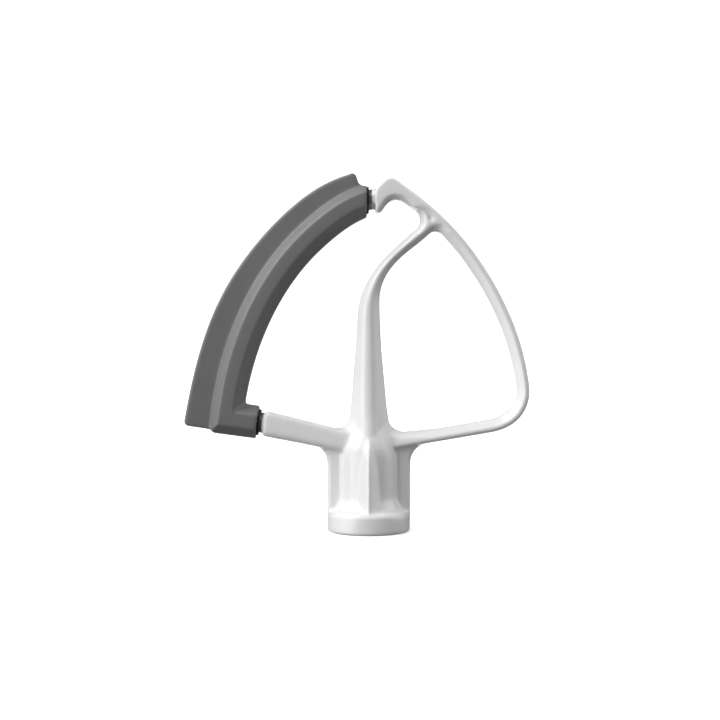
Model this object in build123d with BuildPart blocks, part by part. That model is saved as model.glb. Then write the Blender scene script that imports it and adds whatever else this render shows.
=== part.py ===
from build123d import *
import os
from math import cos, radians, sin, sqrt

os.makedirs("parts", exist_ok=True)

# Flat beater for a tilt-head stand mixer, with a flexible scraper edge.
# Millimetres. It stands on the end of its hub: the hub end is z = 0 and
# the hub axis is the Z axis. The beater's flat plane is XZ, which is also
# the parting plane of the casting, and the scraper edge is on the -X side.

# ---- driving dimensions ---------------------------------------------------
hub_r = 15.875            # outside of the hub ring
ring_h = 8.3
ring_end_round = 1.1
ring_top_round = 2.2
bore_r = 6.5              # turns on a 12.7 mm shaft
bore_depth = 30.0
bore_tip_h = 3.0          # drill point at the blind end
bore_lead = 0.5
pin_slot_w = 5.2          # groove for the shaft's cross pin
pin_slot_r = 9.0
pin_slot_depth = 22.0
pin_turn_deg = 50.0       # how far the pin turns to lock

core_r = 10.85            # round body of the hub between its ribs
core_top = 28.0
flare_top = 12.4          # where the pocket floors leave the round body
flare_r = 14.1
rib_foot = 3.6            # half thickness of the side ribs at the body
rib_far = 1.3             # and out where they run under the arms
rib_round = 1.0
rib_reach = 15.8

bar_half = 5.2            # half depth of the loop and the arms
bar_w = 2.45              # half width of the loop and the right arm
bar_round = 1.2
arm_low_round = 2.2       # underside of the left arm
bar_crest = 0.5           # the loop is deepest this far out from its middle
bar_inner = 2.5           # half depth of the loop at its inner edge
hook_slope_foot = 1.2     # the steep draft under the hook starts here
corner_low = 1.3          # the sloped inside corners start at this half depth
corner_high = 4.7         # and reach this one

boot_w = 6.3              # half width of the boot's body
boot_half = 6.6           # half depth of the boot's body
boot_slope_in = 3.5       # how far each slope runs in from the edge
boot_edge = 1.4           # half height of the flat at the foot of a slope
boot_trim = 0.7           # the boot is this much narrower outside its arc
fin_half = 1.15

core_w = 4.9
core_half = 5.3
core_slope_in = 2.8
core_edge = 0.9

neck_w = 3.85
neck_half = 4.2
neck_slope_in = 2.2
neck_edge = 0.8

top_end_x = -0.8          # upper end of the boot, on a plane across X
collar_len = 0.75         # black collar that shows past the boot
low_end = (-42.4, 41.66)  # centre of the lower end of the boot, as x, z
low_tilt = 7.5            # the lower arm falls toward the hub by this angle
shoulder_x = 2.5          # where the neck meets the hook
arm_start = 1.95          # where the neck meets the left arm, from low_end

# ---- curves in the beater's plane, as x, z --------------------------------
arc_mid = [(4.6, 127.3), (-1.0, 126.3), (-16.75, 117.3), (-31.45, 102.5),
           (-42.6, 84.6), (-50.15, 64.9), (-53.75, 48.0)]
fin_edge = [(-7.6, 136.4), (-20.6, 130.6), (-32.1, 121.6), (-42.3, 110.9),
            (-51.1, 99.1), (-58.2, 86.3), (-63.5, 72.6), (-67.4, 58.3),
            (-70.6, 42.4)]
loop_mid = [(10.8, 130.75), (19.3, 124.5), (29.25, 115.4), (37.8, 105.3),
            (45.05, 94.35), (51.05, 82.6), (55.6, 70.25), (58.35, 57.6),
            (58.75, 53.0), (57.65, 48.3), (54.7, 44.1), (50.4, 41.4),
            (45.5, 40.05)]
arm_in = (4.0, 33.0)      # the right arm runs into the hub

# Stations of the ridged spine and brace, from the hub up to the loop:
# centre x, centre z, lean from upright in degrees, half width,
# half height of the edge, height of the ridge, rounding of the ridge
spine = [(0.0, 27.0, 0, 10.35, 3.5, 18.0, 10.3),
         (0.0, 33.6, 0, 10.3, 1.2, 14.4, 7.0),
         (0.0, 36.3, 0, 8.3, 1.2, 11.2, 4.2),
         (0.1, 42.0, 0, 7.5, 1.2, 9.9, 4.3),
         (0.1, 38.0, 0, 7.7, 1.2, 10.3, 4.2),
         (0.0, 45.0, 0, 7.15, 1.2, 9.5, 4.4),
         (-0.1, 52.0, 0, 6.45, 1.2, 8.9, 4.4),
         (-0.15, 61.0, 0, 5.7, 1.2, 8.2, 4.1),
         (-0.15, 70.0, 0, 4.9, 1.2, 7.6, 3.7),
         (-0.1, 79.0, 0, 4.4, 1.2, 7.1, 3.3),
         (0.15, 86.5, 4, 3.95, 1.2, 6.6, 2.4),
         (1.75, 93.3, 22, 3.0, 1.2, 6.1, 1.4),
         (5.6, 100.4, 36, 2.35, 1.2, 5.8, 0.9),
         (12.45, 107.6, 48, 2.2, 1.2, 5.7, 0.8),
         (19.3, 113.3, 51, 2.35, 1.4, 5.6, 0.8),
         (24.8, 117.5, 52, 2.6, 1.8, 5.05, 0.8)]

# Stations of the front and the back rib of the hub: height, half width at
# the foot, half width at the tip, reach from the axis
rib_stations = [(6.8, 7.1, 0.8, 15.1),
                (14.6, 6.65, 0.8, 14.6),
                (20.6, 6.35, 0.8, 14.25),
                (26.1, 5.98, 0.8, 13.75),
                (30.0, 5.1, 0.8, 12.75),
                (33.4, 3.55, 0.8, 10.95),
                (36.0, 2.0, 0.7, 9.0)]

tilt = radians(low_tilt)
along = (cos(tilt), -sin(tilt))        # from the boot toward the hub, x and z


def at_low(d):
    # A plane across the lower arm, d past the lower end of the boot.
    return Plane(origin=(low_end[0] + d * along[0], 0,
                         low_end[1] + d * along[1]),
                 x_dir=(sin(tilt), 0, cos(tilt)),
                 z_dir=(along[0], 0, along[1]))


def across(x, z, lean):
    a = radians(lean)
    return Plane(origin=(x, 0, z), x_dir=(cos(a), 0, -sin(a)),
                 z_dir=(sin(a), 0, cos(a)))


def octagon(w, half, slope_in, edge):
    return [(-w, -edge), (-w, edge), (-w + slope_in, half),
            (w - slope_in, half), (w, edge), (w, -edge),
            (w - slope_in, -half), (-w + slope_in, -half)]


def edge_body(w, half, slope_in, edge, past_top, past_low, trim=0):
    # An eight-sided bar that follows the beater's left side: down the arc,
    # round the lower left corner and along the lower arm. Its outer edge
    # along the arc can be trimmed; the corner is then cut off as well.
    if trim:
        mitre = Plane(origin=(-54.05, 0, 43.15), x_dir=(0, 1, 0),
                      z_dir=(-0.628, 0, 0.778))
    else:
        mitre = Plane(origin=(-54.4, 0, 43.2), x_dir=(0, 1, 0),
                      z_dir=(-0.606, 0, 0.796))
    outline = octagon(w, half, slope_in, edge)
    outline[0] = (-w + trim, -edge)
    outline[1] = (-w + trim, edge)
    with BuildPart() as arc:
        with BuildLine(Plane.XZ) as path:
            s = Spline(*arc_mid)
            Line(s @ 1, (s @ 1) + (s % 1) * 22)
        begin = path.wires()[0].location_at(0)
        with BuildSketch(Plane(origin=begin.position, x_dir=(0, 1, 0),
                               z_dir=path.wires()[0] % 0)):
            Polygon(*[(d, u) for u, d in outline], align=None)
        sweep(path=path.wires()[0])
        split(bisect_by=mitre, keep=Keep.TOP)
        split(bisect_by=Plane(origin=(top_end_x + past_top, 0, 0),
                              z_dir=(-1, 0, 0)), keep=Keep.TOP)
    with BuildPart() as leg:
        with BuildSketch(at_low(past_low)):
            Polygon(*octagon(w, half, slope_in, edge), align=None)
        extrude(amount=-30)
        split(bisect_by=mitre, keep=Keep.BOTTOM)
    with BuildPart() as both:
        add(arc.part)
        add(leg.part)
        if trim:
            split(bisect_by=Plane(origin=(-60.0, 0, 38.3),
                                  z_dir=(0.778, 0, 0.628)), keep=Keep.TOP)
    return both.part


def roof(x, z, lean, w, edge, ridge, rnd):
    # A section with a rounded ridge on the front and on the back.
    run = sqrt(w * w + (ridge - edge) ** 2)
    ux, uy = w / run, (ridge - edge) / run
    t = rnd * uy / ux
    tx, ty = t * ux, ridge - t * uy
    top = ridge - (rnd / ux - rnd)
    with BuildSketch(across(x, z, lean)) as sk:
        with BuildLine():
            Line((-w, -edge), (-w, edge))
            Line((-w, edge), (-tx, ty))
            ThreePointArc((-tx, ty), (0, top), (tx, ty))
            Line((tx, ty), (w, edge))
            Line((w, edge), (w, -edge))
            Line((w, -edge), (tx, -ty))
            ThreePointArc((tx, -ty), (0, -top), (-tx, -ty))
            Line((-tx, -ty), (-w, -edge))
        make_face()
    return sk.sketch


# ---- flexible edge: silicone boot with a thin fin -------------------------
boot_body = edge_body(boot_w, boot_half, boot_slope_in, boot_edge, 0, 0,
                      boot_trim)
core_body = edge_body(core_w, core_half, core_slope_in, core_edge,
                      collar_len, collar_len)
neck_body = edge_body(neck_w, neck_half, neck_slope_in, neck_edge,
                      shoulder_x - top_end_x + 1.2, arm_start + 1.2)

with BuildPart() as fin:
    with BuildSketch(Plane.XZ):
        with BuildLine():
            e = Spline(*fin_edge)
            ThreePointArc(e @ 1, (-70.55, 41.2), (-69.5, 40.2))
            Line((-69.5, 40.2), (-58.0, 38.5))
            Line((-58.0, 38.5), (-54.6, 44.0))
            m = Spline(*reversed(arc_mid[1:]))
            Line((-54.6, 44.0), m @ 0)
            Line(m @ 1, (-2.6, 132.3))
            RadiusArc((-2.6, 132.3), (-4.2, 133.9), 1.8)
            Line((-4.2, 133.9), (-4.8, 135.9))
            ThreePointArc((-4.8, 135.9), (-5.5, 136.65), e @ 0)
        make_face()
    extrude(amount=fin_half, both=True)

with BuildPart() as flex_edge:
    add(boot_body)
    add(fin.part)
    add(core_body, mode=Mode.SUBTRACT)
flex_edge.part.label = "flex_edge"

with BuildPart() as edge_core:
    add(core_body)
    add(neck_body, mode=Mode.SUBTRACT)
edge_core.part.label = "edge_core"

# ---- frame: one casting ---------------------------------------------------
def bar_section(plane):
    # Each face of the loop slopes from a crest down to its inner edge and
    # rounds over to its outer side.
    high = (-bar_crest, bar_half)
    outer = (-bar_w + 0.25, bar_half - 0.3)
    inner = (bar_w - 0.12, bar_inner)
    with BuildSketch(plane) as sk:
        with BuildLine():
            FilletPolyline((bar_w, 0), inner, high, outer, (-bar_w, 0),
                           radius=[0.5, 0.6, 1.4])
            FilletPolyline((-bar_w, 0), (outer[0], -outer[1]),
                           (high[0], -high[1]), (inner[0], -inner[1]),
                           (bar_w, 0), radius=[1.4, 0.6, 0.5])
        make_face()
    return sk.sketch


def square_to(origin, z_dir):
    # A plane across a bar in the beater's plane, with its y along Y.
    return Plane(origin=origin, x_dir=(z_dir.Z, 0, -z_dir.X), z_dir=z_dir)


with BuildPart() as loop_bar:
    with BuildLine(Plane.XZ) as loop_path:
        s = Spline(*loop_mid)
        Line(s @ 1, arm_in)
    w0 = loop_path.wires()[0]
    add(bar_section(square_to(w0 @ 0, w0 % 0)))
    sweep(path=w0)

with BuildPart() as hook:
    with BuildSketch(Plane.XZ):
        with BuildLine():
            a = Polyline((shoulder_x, 121.2), (shoulder_x, 130.8), (5.45, 133.6))
            b = ThreePointArc(a @ 1, (7.9, 134.75), (10.5, 133.85))
            o = Line(b @ 1, (22.2, 124.6))
            n = Polyline(o @ 1, (20.4, 122.4), (16.4, 123.2))
            Spline(n @ 1, (13.9, 125.1), (10.2, 126.5), (7.3, 125.3),
                   (5.4, 122.8), (3.9, 121.25), (shoulder_x, 121.2))
        make_face()
    extrude(amount=bar_half, both=True)
    top = [e for e in hook.edges()
           if abs(abs(e.center().Y) - bar_half) < 0.01
           and e.center().X < 17.0 and e.center().Z > 126.8]
    fillet(top, bar_round)

# The underside of the hook falls back at a steep draft, front and back.
with BuildPart() as under_hook:
    with BuildSketch(Plane.XZ.offset(bar_half + 0.1)):
        with BuildLine():
            u = Spline((2.9, 120.4), (3.9, 123.0), (5.5, 125.7), (7.5, 127.5),
                       (10.2, 128.1), (13.2, 127.3), (15.9, 124.8),
                       (18.6, 121.2))
            Line(u @ 1, u @ 0)
        make_face()
    with BuildSketch(Plane.XZ.offset(hook_slope_foot)):
        with BuildLine():
            v = Spline((3.6, 120.8), (4.7, 121.9), (5.7, 123.3), (7.3, 125.2),
                       (10.2, 126.4), (13.9, 125.0), (17.4, 122.2),
                       (19.2, 120.6))
            Line(v @ 1, v @ 0)
        make_face()
    loft(ruled=True)
    mirror(about=Plane.XZ)

# Inside corners where the brace runs into the loop: each one slopes from
# its rounded edge up to the brace's ridge, front and back.
with BuildPart() as upper_corner:
    with BuildSketch(Plane.XZ.offset(corner_low)):
        with BuildLine():
            h = ThreePointArc((17.2, 114.6), (19.5, 118.9), (16.6, 123.1))
            Polyline(h @ 1, (19.0, 124.0), (23.0, 118.0), (19.5, 113.7), h @ 0)
        make_face()
    with BuildSketch(Plane.XZ.offset(corner_high)):
        with BuildLine():
            h = ThreePointArc((20.3, 114.6), (21.9, 118.4), (19.3, 122.6))
            Polyline(h @ 1, (20.2, 123.0), (23.4, 118.2), (21.0, 114.4), h @ 0)
        make_face()
    loft(ruled=True)
    mirror(about=Plane.XZ)
    with BuildSketch(Plane.XZ):
        with BuildLine():
            h = ThreePointArc((17.2, 114.6), (19.5, 118.9), (16.6, 123.1))
            Polyline(h @ 1, (19.0, 124.0), (23.0, 118.0), (19.5, 113.7), h @ 0)
        make_face()
    extrude(amount=corner_low, both=True)

with BuildPart() as lower_corner:
    with BuildSketch(Plane.XZ.offset(corner_low)):
        with BuildLine():
            f = ThreePointArc((29.2, 111.8), (25.3, 114.4), (21.2, 112.1))
            Polyline(f @ 1, (24.0, 117.0), (31.0, 113.0), f @ 0)
        make_face()
    with BuildSketch(Plane.XZ.offset(corner_high)):
        with BuildLine():
            f = ThreePointArc((30.3, 113.2), (26.7, 117.0), (22.6, 115.7))
            Polyline(f @ 1, (24.9, 119.0), (31.8, 114.9), f @ 0)
        make_face()
    loft(ruled=True)
    mirror(about=Plane.XZ)
    with BuildSketch(Plane.XZ):
        with BuildLine():
            f = ThreePointArc((29.2, 111.8), (25.3, 114.4), (21.2, 112.1))
            Polyline(f @ 1, (24.0, 117.0), (31.0, 113.0), f @ 0)
        make_face()
    extrude(amount=corner_low, both=True)

with BuildPart() as left_arm:
    with BuildSketch(Plane.XZ):
        with BuildLine():
            Polyline((-40.7, 36.5), (-26.4, 33.8), (-18.7, 32.2), (-4.0, 29.2),
                     (-4.0, 37.2), (-26.4, 42.75), (-37.6, 45.6),
                     (-39.7, 45.4), (-40.7, 36.5), close=True)
        make_face()
    extrude(amount=bar_half, both=True)
    for low, rnd in ((True, arm_low_round), (False, bar_round)):
        fillet([e for e in left_arm.edges()
                if abs(abs(e.center().Y) - bar_half) < 0.01
                and e.center().X < -5 and (e.center().Z < 35.5) == low], rnd)

with BuildPart() as column:
    for s in spine[:4]:
        add(roof(*s))
    loft(ruled=True)

with BuildPart() as spine_bar:
    for s in spine[4:]:
        add(roof(*s))
    loft()

# The round body of the hub, which narrows upward into the spine.
with BuildPart() as round_body:
    with BuildSketch(Plane.XZ):
        with BuildLine():
            Polyline((0, 40.0), (0, 6.3), (flare_r, 6.3), (core_r, flare_top),
                     (core_r, core_top))
            c = Spline((core_r, core_top), (core_r - 0.3, 31.2),
                       (core_r - 1.25, 34.2), (core_r - 2.65, 37.2),
                       (core_r - 4.3, 40.0), tangents=[(0, 1), (-0.5, 1)])
            Line(c @ 1, (0, 40.0))
        make_face()
    revolve(axis=Axis.Z)

with BuildPart() as front_ribs:
    for z, base, tip, reach in rib_stations:
        with BuildSketch(Plane.XY.offset(z)):
            with BuildLine():
                Polyline((-tip, reach - 0.8 * tip), (-base, 7.0), (base, 7.0),
                         (tip, reach - 0.8 * tip))
                ThreePointArc((tip, reach - 0.8 * tip), (0, reach),
                              (-tip, reach - 0.8 * tip))
            make_face()
    loft()
    mirror(about=Plane.XZ)

# Inside corners where the spine stands on the arms, sloped like its faces.
with BuildPart() as left_foot:
    with BuildSketch(Plane.XZ.offset(corner_low)):
        with BuildLine():
            f = ThreePointArc((-7.0, 45.6), (-8.6, 41.0), (-14.0, 39.3))
            Polyline(f @ 1, (-14.0, 36.0), (-5.0, 36.0), (-5.0, 45.6), f @ 0)
        make_face()
    with BuildSketch(Plane.XZ.offset(corner_high)):
        with BuildLine():
            f = ThreePointArc((-4.15, 45.2), (-5.3, 40.4), (-9.5, 37.6))
            Polyline(f @ 1, (-9.5, 35.0), (-3.0, 35.0), (-3.0, 45.2), f @ 0)
        make_face()
    loft(ruled=True)
    mirror(about=Plane.XZ)
    with BuildSketch(Plane.XZ):
        with BuildLine():
            f = ThreePointArc((-7.0, 45.6), (-8.6, 41.0), (-14.0, 39.3))
            Polyline(f @ 1, (-14.0, 36.0), (-5.0, 36.0), (-5.0, 45.6), f @ 0)
        make_face()
    extrude(amount=corner_low, both=True)

with BuildPart() as right_foot:
    with BuildSketch(Plane.XZ.offset(corner_low)):
        with BuildLine():
            f = ThreePointArc((6.9, 45.6), (8.5, 40.3), (13.0, 38.0))
            Polyline(f @ 1, (27.0, 39.3), (27.0, 36.0), (5.0, 36.0),
                     (5.0, 45.6), f @ 0)
        make_face()
    with BuildSketch(Plane.XZ.offset(corner_high)):
        with BuildLine():
            f = ThreePointArc((4.15, 45.2), (5.3, 39.6), (9.5, 35.8))
            Polyline(f @ 1, (27.0, 36.8), (27.0, 35.0), (3.0, 34.6),
                     (3.0, 45.2), f @ 0)
        make_face()
    loft(ruled=True)
    mirror(about=Plane.XZ)
    with BuildSketch(Plane.XZ):
        with BuildLine():
            f = ThreePointArc((6.9, 45.6), (8.5, 40.3), (13.0, 38.0))
            Polyline(f @ 1, (27.0, 39.3), (27.0, 36.0), (5.0, 36.0),
                     (5.0, 45.6), f @ 0)
        make_face()
    extrude(amount=corner_low, both=True)

with BuildPart() as side_ribs:
    with BuildSketch(Plane.XZ):
        with BuildLine():
            Polyline((-rib_reach, 6.5), (-rib_reach, 26.3))
            ThreePointArc((-rib_reach, 26.3), (-17.1, 30.2), (-20.8, 32.9))
            Polyline((-20.8, 32.9), (-20.8, 35.0), (20.8, 35.0), (20.8, 33.1))
            ThreePointArc((20.8, 33.1), (17.1, 30.4), (rib_reach, 26.3))
            Polyline((rib_reach, 26.3), (rib_reach, 6.5), (-rib_reach, 6.5))
        make_face()
    extrude(amount=rib_foot + 1, both=True)
    with BuildSketch(Plane.XY):
        Polygon((-22.0, -rib_far), (-9.0, -rib_foot), (9.0, -rib_foot),
                (22.0, -rib_far), (22.0, rib_far), (9.0, rib_foot),
                (-9.0, rib_foot), (-22.0, rib_far), align=None)
    extrude(amount=40, mode=Mode.INTERSECT)
    fillet([e for e in side_ribs.edges()
            if 14.5 < abs(e.center().X) < 20.0 and 7.0 < e.center().Z < 33.0
            and abs(e.center().Y) > 1.0], rib_round)

with BuildPart() as ring:
    Cylinder(hub_r, ring_h, align=(Align.CENTER, Align.CENTER, Align.MIN))
    fillet(ring.edges().group_by(Axis.Z)[0], ring_end_round)
    fillet(ring.edges().group_by(Axis.Z)[-1], ring_top_round)

with BuildPart() as bore_space:
    with BuildSketch(Plane.XZ):
        Polygon((0, -1), (bore_r + bore_lead + 1, -1), (bore_r, bore_lead),
                (bore_r, bore_depth), (0, bore_depth + bore_tip_h), align=None)
    revolve(axis=Axis.Z)
    with BuildSketch(Plane.XY.offset(-1)):
        Rectangle(pin_slot_w, pin_slot_r, align=(Align.CENTER, Align.MIN))
    extrude(amount=pin_slot_depth + 1)
    with BuildSketch(Plane.YZ):
        with Locations((0, pin_slot_depth - pin_slot_w)):
            Rectangle(pin_slot_r, pin_slot_w, align=(Align.MIN, Align.MIN))
    revolve(axis=Axis.Z, revolution_arc=-pin_turn_deg)

with BuildPart() as beater_frame:
    add(ring.part)
    add(side_ribs.part)
    add(round_body.part)
    add(front_ribs.part)
    add(column.part)
    add(spine_bar.part)
    add(left_foot.part)
    add(left_arm.part)
    add(loop_bar.part)
    add(right_foot.part)
    add(hook.part)
    add(under_hook.part, mode=Mode.SUBTRACT)
    add(upper_corner.part)
    add(lower_corner.part)
    add(neck_body)
    add(bore_space.part, mode=Mode.SUBTRACT)
beater_frame.part.label = "beater_frame"

export_step(beater_frame.part, "parts/beater_frame.step")
export_step(edge_core.part, "parts/edge_core.step")
export_step(flex_edge.part, "parts/flex_edge.step")
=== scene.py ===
import bpy
import math
import numpy as np
from mathutils import Vector, Matrix


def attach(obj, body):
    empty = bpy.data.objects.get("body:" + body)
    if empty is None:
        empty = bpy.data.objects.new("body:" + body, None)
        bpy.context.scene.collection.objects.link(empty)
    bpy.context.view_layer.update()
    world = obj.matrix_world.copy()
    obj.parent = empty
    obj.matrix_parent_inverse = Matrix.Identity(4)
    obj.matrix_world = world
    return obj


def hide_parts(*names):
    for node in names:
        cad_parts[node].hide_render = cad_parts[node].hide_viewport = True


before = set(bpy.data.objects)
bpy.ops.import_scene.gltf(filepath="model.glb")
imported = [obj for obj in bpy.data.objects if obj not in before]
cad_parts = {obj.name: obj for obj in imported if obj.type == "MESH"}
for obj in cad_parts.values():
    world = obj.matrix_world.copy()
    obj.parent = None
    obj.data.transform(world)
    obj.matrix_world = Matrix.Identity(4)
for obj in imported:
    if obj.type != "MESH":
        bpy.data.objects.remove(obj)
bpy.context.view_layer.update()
scene = bpy.context.scene
MM = 0.001


# ---------------------------------------------------------------- geometry
def from_node(node, name, voxel):
    """A closed, evenly meshed copy of a CAD node, in the row frame."""
    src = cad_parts[node]
    obj = bpy.data.objects.new(name + "_tmp", src.data.copy())
    scene.collection.objects.link(obj)
    mod = obj.modifiers.new("even", "REMESH")
    mod.mode = "VOXEL"
    mod.voxel_size = voxel
    mod.adaptivity = 0.0
    dg = bpy.context.evaluated_depsgraph_get()
    mesh = bpy.data.meshes.new_from_object(obj.evaluated_get(dg))
    bpy.data.objects.remove(obj)
    mesh.name = name
    mesh.materials.clear()
    made = bpy.data.objects.new(name, mesh)
    scene.collection.objects.link(made)
    return made


def points_of(obj):
    co = np.empty(len(obj.data.vertices) * 3, np.float32)
    obj.data.vertices.foreach_get("co", co)
    return co.reshape(-1, 3).astype(float)


def relax(obj, rounds, weight):
    """Rounds a mesh's corners: each round moves a point part of the way to the mean of its neighbours.
    weight gives, for each point, how far (0 to 1), and may depend on the round."""
    co = points_of(obj)
    ed = np.empty(len(obj.data.edges) * 2, np.int32)
    obj.data.edges.foreach_get("vertices", ed)
    a, b = ed.reshape(-1, 2).T
    n = len(co)
    count = (np.bincount(a, minlength=n) + np.bincount(b, minlength=n)).astype(float)
    start = co.copy()
    for i in range(rounds):
        mean = np.empty_like(co)
        for k in range(3):
            mean[:, k] = (np.bincount(a, co[b, k], n) + np.bincount(b, co[a, k], n)) / count
        w = weight(start, i)
        co = co + (mean - co) * np.asarray(w)[:, None]
    obj.data.vertices.foreach_set("co", co.astype(np.float32).ravel())
    obj.data.update()


def smooth_shaded(obj):
    obj.data.polygons.foreach_set("use_smooth", np.ones(len(obj.data.polygons), bool))
    obj.data.update()


def ramp(v, a, b):
    t = np.clip((v - a) / (b - a), 0, 1)
    return t * t * (3 - 2 * t)


casting = from_node("beater_frame", "coated_casting", 0.00045)


def casting_softness(p, i):
    x, y, z = (p / MM).T
    few = np.full(len(p), 0.5) if i < 6 else np.zeros(len(p))
    under_hook = ramp(z, 119.0, 120.5) * ramp(x, 3.5, 5.0) * ramp(x, 15.0, 12.0) * ramp(np.abs(y), 3.6, 4.4)
    few = few * (1 - 0.8 * under_hook) * (1 - 0.6 * ramp(z, 3.0, 1.5))
    # the coating runs thickest where the spine, the arms and the hub meet
    hub = ramp(z, 60, 46) * ramp(z, 9, 13) * ramp(np.hypot(x, y), 6.9, 8.5)
    # and fills the hollows at the foot of the spine, and where the brace meets the loop
    feet = ramp(np.abs(x), 3.6, 6.0) * ramp(np.abs(x), 17, 12) * ramp(z, 33.0, 35.5) * ramp(z, 49, 45) * ramp(np.abs(y), 2.0, 3.0)
    joint = ramp(np.hypot(x - 20.5, z - 118.3), 6.0, 3.5) * ramp(np.abs(y), 2.0, 3.0)
    if i >= 11:
        hub = hub * 0
    return np.maximum(np.maximum(few, 0.5 * hub), 0.5 * np.maximum(feet, joint))


relax(casting, 30, casting_softness)
smooth_shaded(casting)
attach(casting, "root")
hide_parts("beater_frame")

edge = from_node("flex_edge", "scraper_edge", 0.0004)
relax(edge, 9, lambda p, i: np.full(len(p), 0.5))
smooth_shaded(edge)
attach(edge, "root")
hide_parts("flex_edge")

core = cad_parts["edge_core"]
bevel = core.modifiers.new("edges", "BEVEL")
bevel.width = 0.0002
bevel.segments = 2
bevel.limit_method = "ANGLE"
bevel.angle_limit = math.radians(35)


# --------------------------------------------------------------- materials
class Mat:
    """A node material with small helpers."""

    def __init__(self, name):
        self.mat = bpy.data.materials.new(name)
        self.mat.use_nodes = True
        self.tree = self.mat.node_tree
        self.tree.nodes.clear()
        self.out = self.node("ShaderNodeOutputMaterial")
        self.bsdf = self.node("ShaderNodeBsdfPrincipled")
        self.link(self.bsdf.outputs[0], self.out.inputs[0])
        self.pos = self.node("ShaderNodeTexCoord").outputs["Object"]

    def node(self, kind, **values):
        n = self.tree.nodes.new(kind)
        for k, v in values.items():
            setattr(n, k, v)
        return n

    def link(self, a, b):
        self.tree.links.new(a, b)

    def put(self, sock, value):
        if isinstance(value, bpy.types.NodeSocket):
            self.link(value, sock)
        else:
            sock.default_value = value

    def math(self, op, a, b=0.0, c=0.0, clamp=False):
        n = self.node("ShaderNodeMath", operation=op, use_clamp=clamp)
        for s, v in zip(n.inputs, (a, b, c)):
            self.put(s, v)
        return n.outputs[0]

    def noise(self, scale, detail=2.0, rough=0.5, dims="3D", vector=None, distortion=0.0):
        n = self.node("ShaderNodeTexNoise", noise_dimensions=dims)
        self.link(vector or self.pos, n.inputs["Vector"])
        n.inputs["Scale"].default_value = scale
        n.inputs["Detail"].default_value = detail
        n.inputs["Roughness"].default_value = rough
        n.inputs["Distortion"].default_value = distortion
        return n.outputs["Fac"]

    def remap(self, v, a, b, c, d, smooth=False):
        n = self.node("ShaderNodeMapRange", interpolation_type="SMOOTHSTEP" if smooth else "LINEAR")
        for s, x in zip(n.inputs, (v, a, b, c, d)):
            self.put(s, x)
        return n.outputs[0]

    def mix(self, fac, a, b):
        n = self.node("ShaderNodeMix", data_type="RGBA")
        self.put(n.inputs[0], fac)
        self.put(n.inputs[6], a)
        self.put(n.inputs[7], b)
        return n.outputs[2]

    def split(self):
        n = self.node("ShaderNodeSeparateXYZ")
        self.link(self.pos, n.inputs[0])
        return n.outputs

    def bump(self, height, distance, strength=1.0, normal=None):
        n = self.node("ShaderNodeBump")
        self.put(n.inputs["Height"], height)
        n.inputs["Distance"].default_value = distance
        n.inputs["Strength"].default_value = strength
        if normal is not None:
            self.link(normal, n.inputs["Normal"])
        return n.outputs[0]


def grey(v):
    return (v, v, v, 1.0)


# gloss white coating on a cast body, with a darker grey metallic band at the two narrow seats of the edge
m = Mat("white_coat")
x, y, z = m.split()
low_x, low_z = -42.4 * MM, 41.66 * MM
c, s = math.cos(math.radians(7.5)), math.sin(math.radians(7.5))
along = m.math("SUBTRACT", m.math("MULTIPLY", m.math("SUBTRACT", x, low_x), c),
               m.math("MULTIPLY", m.math("SUBTRACT", z, low_z), s))
wobble = m.math("MULTIPLY", m.math("SUBTRACT", m.noise(900, 2), 0.5), 0.0003)
# the seat band: a darker grey metallic colour on the two narrow necks next to the black core, one at the
# lower seat and one at the upper
seat_band_low = m.remap(m.math("ADD", along, wobble), 0.00175, 0.00195, 1, 0, True)
near_low = m.math("LESS_THAN", x, -0.038)
seat_band_top = m.remap(m.math("ADD", x, wobble), 0.00100, 0.00120, 1, 0, True)
near_top = m.math("MULTIPLY", m.math("GREATER_THAN", z, 0.112), m.math("GREATER_THAN", x, -0.012))
seat_band = m.math("MAXIMUM", m.math("MULTIPLY", seat_band_low, near_low), m.math("MULTIPLY", seat_band_top, near_top))

cloud = m.noise(45, 3, 0.55)
coat_colour = m.mix(m.remap(cloud, 0.3, 0.7, 0, 1), grey(0.80), grey(0.84))
seat_band_colour = m.mix(m.noise(2600, 3, 0.6), grey(0.20), grey(0.30))
m.link(m.mix(seat_band, coat_colour, seat_band_colour), m.bsdf.inputs["Base Color"])
m.link(m.math("MULTIPLY", seat_band, 0.8), m.bsdf.inputs["Metallic"])
gloss = m.remap(m.noise(160, 3, 0.6), 0.3, 0.7, 0.20, 0.27)
m.link(m.math("ADD", gloss, m.math("MULTIPLY", seat_band, 0.25)), m.bsdf.inputs["Roughness"])
m.bsdf.inputs["IOR"].default_value = 1.5
m.bsdf.inputs["Coat Weight"].default_value = 0.25
m.bsdf.inputs["Coat Roughness"].default_value = 0.10
peel = m.bump(m.noise(520, 2, 0.5), 0.000012)
fine = m.bump(m.noise(4200, 2, 0.6), 0.0000015, normal=peel)
m.link(fine, m.bsdf.inputs["Normal"])
white_coat = m.mat

# satin grey silicone with the fine eroded texture of its mould
m = Mat("silicone")
cloud = m.noise(38, 4, 0.55)
m.link(m.mix(m.remap(cloud, 0.3, 0.7, 0, 1), grey(0.150), grey(0.176)), m.bsdf.inputs["Base Color"])
m.link(m.remap(m.noise(420, 3, 0.6), 0.3, 0.7, 0.36, 0.44), m.bsdf.inputs["Roughness"])
m.bsdf.inputs["IOR"].default_value = 1.5
m.bsdf.inputs["Sheen Weight"].default_value = 0.08
m.bsdf.inputs["Sheen Roughness"].default_value = 0.5
grain = m.bump(m.noise(3000, 3, 0.6), 0.000010)
waves = m.bump(m.noise(110, 2, 0.5), 0.00004, normal=grain)
m.link(waves, m.bsdf.inputs["Normal"])
silicone = m.mat

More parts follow.
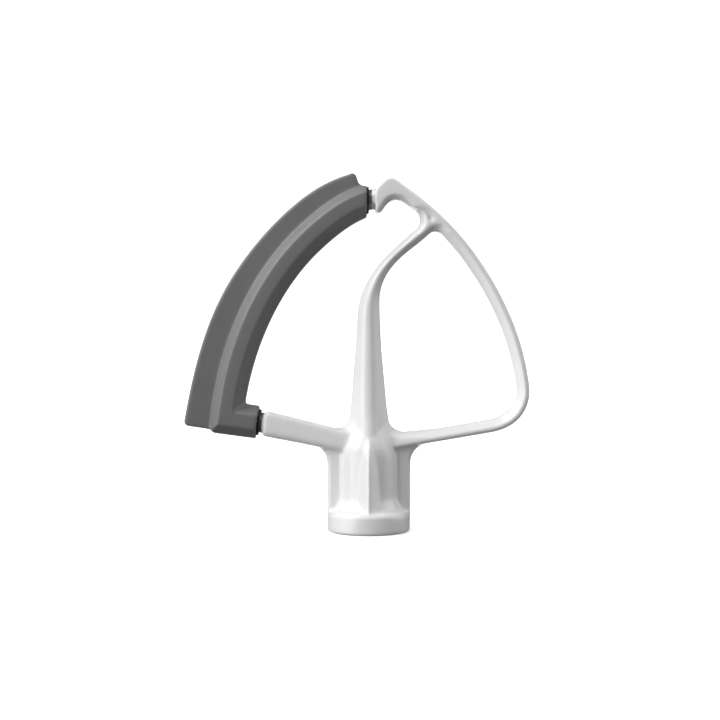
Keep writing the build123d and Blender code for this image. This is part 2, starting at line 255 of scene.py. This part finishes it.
# black moulded core
m = Mat("black_core")
m.link(m.mix(m.noise(300, 3), grey(0.010), grey(0.018)), m.bsdf.inputs["Base Color"])
m.link(m.remap(m.noise(700, 3), 0.3, 0.7, 0.38, 0.5), m.bsdf.inputs["Roughness"])
m.bsdf.inputs["IOR"].default_value = 1.49
m.link(m.bump(m.noise(2600, 3, 0.6), 0.000008), m.bsdf.inputs["Normal"])
black_core = m.mat

for obj, mat in ((casting, white_coat), (edge, silicone), (core, black_core)):
    obj.data.materials.clear()
    obj.data.materials.append(mat)


# ------------------------------------------------------------ floor, lights
def backdrop():
    """One sheet: a flat floor that curves up into a wall behind the object."""
    wide, front, back, high, bend = 3.0, -1.6, 1.1, 2.2, 0.7
    line = [(front, 0.0), (back - bend, 0.0)]
    for i in range(1, 17):
        t = math.pi / 2 * i / 16
        line.append((back - bend + bend * math.sin(t), bend - bend * math.cos(t)))
    line.append((back, high))
    verts = [(sx * wide, yy, zz) for yy, zz in line for sx in (-1, 1)]
    faces = [(2 * i, 2 * i + 1, 2 * i + 3, 2 * i + 2) for i in range(len(line) - 1)]
    mesh = bpy.data.meshes.new("backdrop")
    mesh.from_pydata(verts, [], faces)
    mesh.polygons.foreach_set("use_smooth", np.ones(len(faces), bool))
    obj = bpy.data.objects.new("backdrop", mesh)
    scene.collection.objects.link(obj)
    m = Mat("paper")
    m.link(m.mix(m.noise(3, 3), grey(0.86), grey(0.90)), m.bsdf.inputs["Base Color"])
    m.bsdf.inputs["Roughness"].default_value = 0.9
    m.bsdf.inputs["Specular IOR Level"].default_value = 0.1
    m.bsdf.inputs["Emission Color"].default_value = grey(1.0)
    m.bsdf.inputs["Emission Strength"].default_value = 0.55
    m.link(m.bump(m.noise(900, 3), 0.00005), m.bsdf.inputs["Normal"])
    mesh.materials.append(m.mat)
    obj.visible_diffuse = False
    obj.visible_glossy = False
    obj.visible_shadow = False
    return obj


floor = backdrop()
AIM = Vector((-0.003, 0.0, 0.068))


def lamp(name, azimuth, elevation, distance, size, power, height=None):
    """A soft rectangular light. Azimuth 0 is on the camera's side, 90 on the object's +X side."""
    a, e = math.radians(azimuth), math.radians(elevation)
    d = Vector((math.sin(a) * math.cos(e), -math.cos(a) * math.cos(e), math.sin(e)))
    light = bpy.data.lights.new(name, "AREA")
    light.shape = "RECTANGLE"
    light.size = size
    light.size_y = height or size
    light.energy = power
    obj = bpy.data.objects.new(name, light)
    obj.location = AIM + d * distance
    obj.rotation_mode = "QUATERNION"
    obj.rotation_quaternion = d.to_track_quat("Z", "Y")
    scene.collection.objects.link(obj)
    return obj


LIGHTS = [
    # name, azimuth, elevation, distance, size, power
    ("left_high", -80, 45, 1.2, 1.0, 11.57),
    ("right_side", 90, 15, 1.2, 1.0, 5.55),
    ("left_front_high", -40, 45, 1.2, 1.0, 5.23),
    ("left_front_low", -60, -15, 1.2, 1.0, 5.06),
    ("back_low", -180, -15, 1.2, 1.0, 4.45),
    ("right_top", 90, 70, 1.2, 1.0, 3.60),
    ("left_front", -60, 15, 1.2, 1.0, 3.08),
    ("left_back_high", -120, 45, 1.2, 1.0, 0.51),
    ("right_fill_high", 80, 45, 1.2, 1.0, 0.45),
    ("front", 0, 15, 1.2, 1.0, 0.43),
    ("back", -180, 15, 1.2, 1.0, 0.36),
]
for row in LIGHTS:
    lamp(*row)

world = bpy.data.worlds.new("studio")
scene.world = world
world.use_nodes = True
world.node_tree.nodes["Background"].inputs["Color"].default_value = (1, 1, 1, 1)
world.node_tree.nodes["Background"].inputs["Strength"].default_value = 0.105

# ------------------------------------------------------------------ camera
cam = bpy.data.objects.new("camera", bpy.data.cameras.new("camera"))
cam.data.sensor_width = 36.0
cam.data.lens = 62.745
cam.data.clip_start = 0.01
cam.data.clip_end = 50.0
cam.location = (-3.404 * MM, -480.0 * MM, 65.4 * MM)
cam.rotation_euler = (math.radians(90), 0, 0)
scene.collection.objects.link(cam)
scene.camera = cam

scene.view_settings.view_transform = "Standard"
scene.view_settings.look = "None"
scene.view_settings.exposure = 0.0
scene.view_settings.gamma = 1.0
